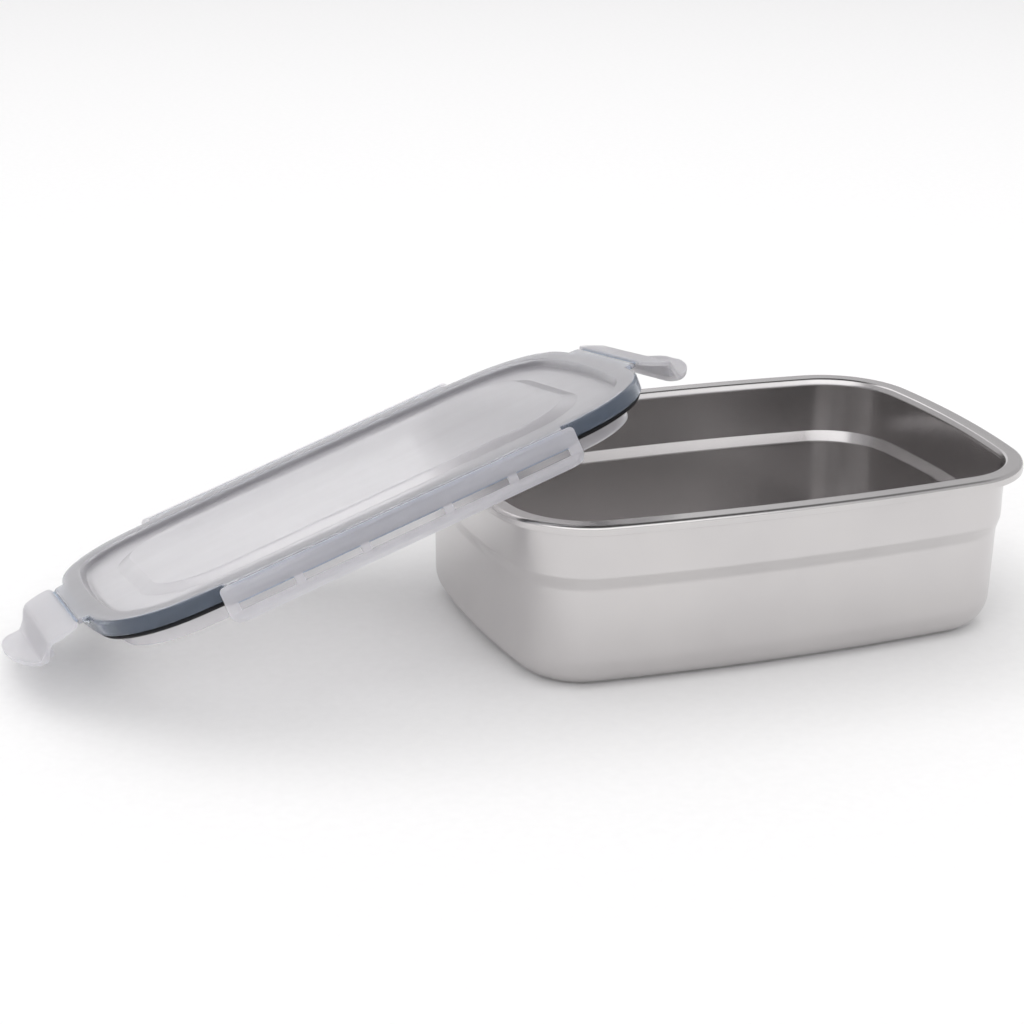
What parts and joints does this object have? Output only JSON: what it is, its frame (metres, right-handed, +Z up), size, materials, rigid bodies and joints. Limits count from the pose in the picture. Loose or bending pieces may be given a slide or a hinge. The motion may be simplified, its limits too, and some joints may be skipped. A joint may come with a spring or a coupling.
{
  "type": "lunch box",
  "caption": "Rounded rectangular steel lunch box with a rolled flange, shown with its translucent clip-on lid lifted off and leaning on the rim.",
  "frame": {"origin": "centre of the flat underside of the container, on the surface it stands on", "axes": "+X along the container's long side, away from the leaning lid; +Y across it, from the near long side to the far one; +Z up"},
  "size_m": [0.3514, 0.1581, 0.0997],
  "materials": {
    "steel": "satin drawn stainless steel, faint vertical draw marks",
    "lid_plastic": "milky translucent polypropylene, semi-gloss",
    "clip_plastic": "milky translucent polypropylene, semi-gloss",
    "gasket_rubber": "matt black silicone"
  },
  "bodies": {
    "container": {"container": "steel"},
    "lid": {"lid_shell": "lid_plastic", "gasket": "gasket_rubber"},
    "front_clip": {"front_clip": "clip_plastic"},
    "back_clip": {"back_clip": "clip_plastic"},
    "left_clip": {"left_clip": "clip_plastic"},
    "right_clip": {"right_clip": "clip_plastic"}
  },
  "joints": [
    {"name": "lid_lift", "type": "slide", "parent": "container", "child": "lid", "axis": [0, 0, 1], "range_m": [0, 0.12]},
    {"name": "front_clip_hinge", "type": "hinge", "parent": "lid", "child": "front_clip", "pos_m": [-0.13803, -0.05374, 0.0714], "axis": [-0.942, 0.0049, -0.3355], "range_deg": [-8, 127]},
    {"name": "back_clip_hinge", "type": "hinge", "parent": "lid", "child": "back_clip", "pos_m": [-0.12758, 0.08717, 0.04414], "axis": [0.942, -0.0049, 0.3355], "range_deg": [-4, 131]},
    {"name": "left_clip_hinge", "type": "hinge", "parent": "lid", "child": "left_clip", "pos_m": [-0.23054, 0.01723, 0.02297], "axis": [0.0726, 0.9792, -0.1894], "range_deg": [-81, 54]},
    {"name": "right_clip_hinge", "type": "hinge", "parent": "lid", "child": "right_clip", "pos_m": [-0.03507, 0.01621, 0.09257], "axis": [-0.0726, -0.9792, 0.1894], "range_deg": [-67, 68]}
  ]
}
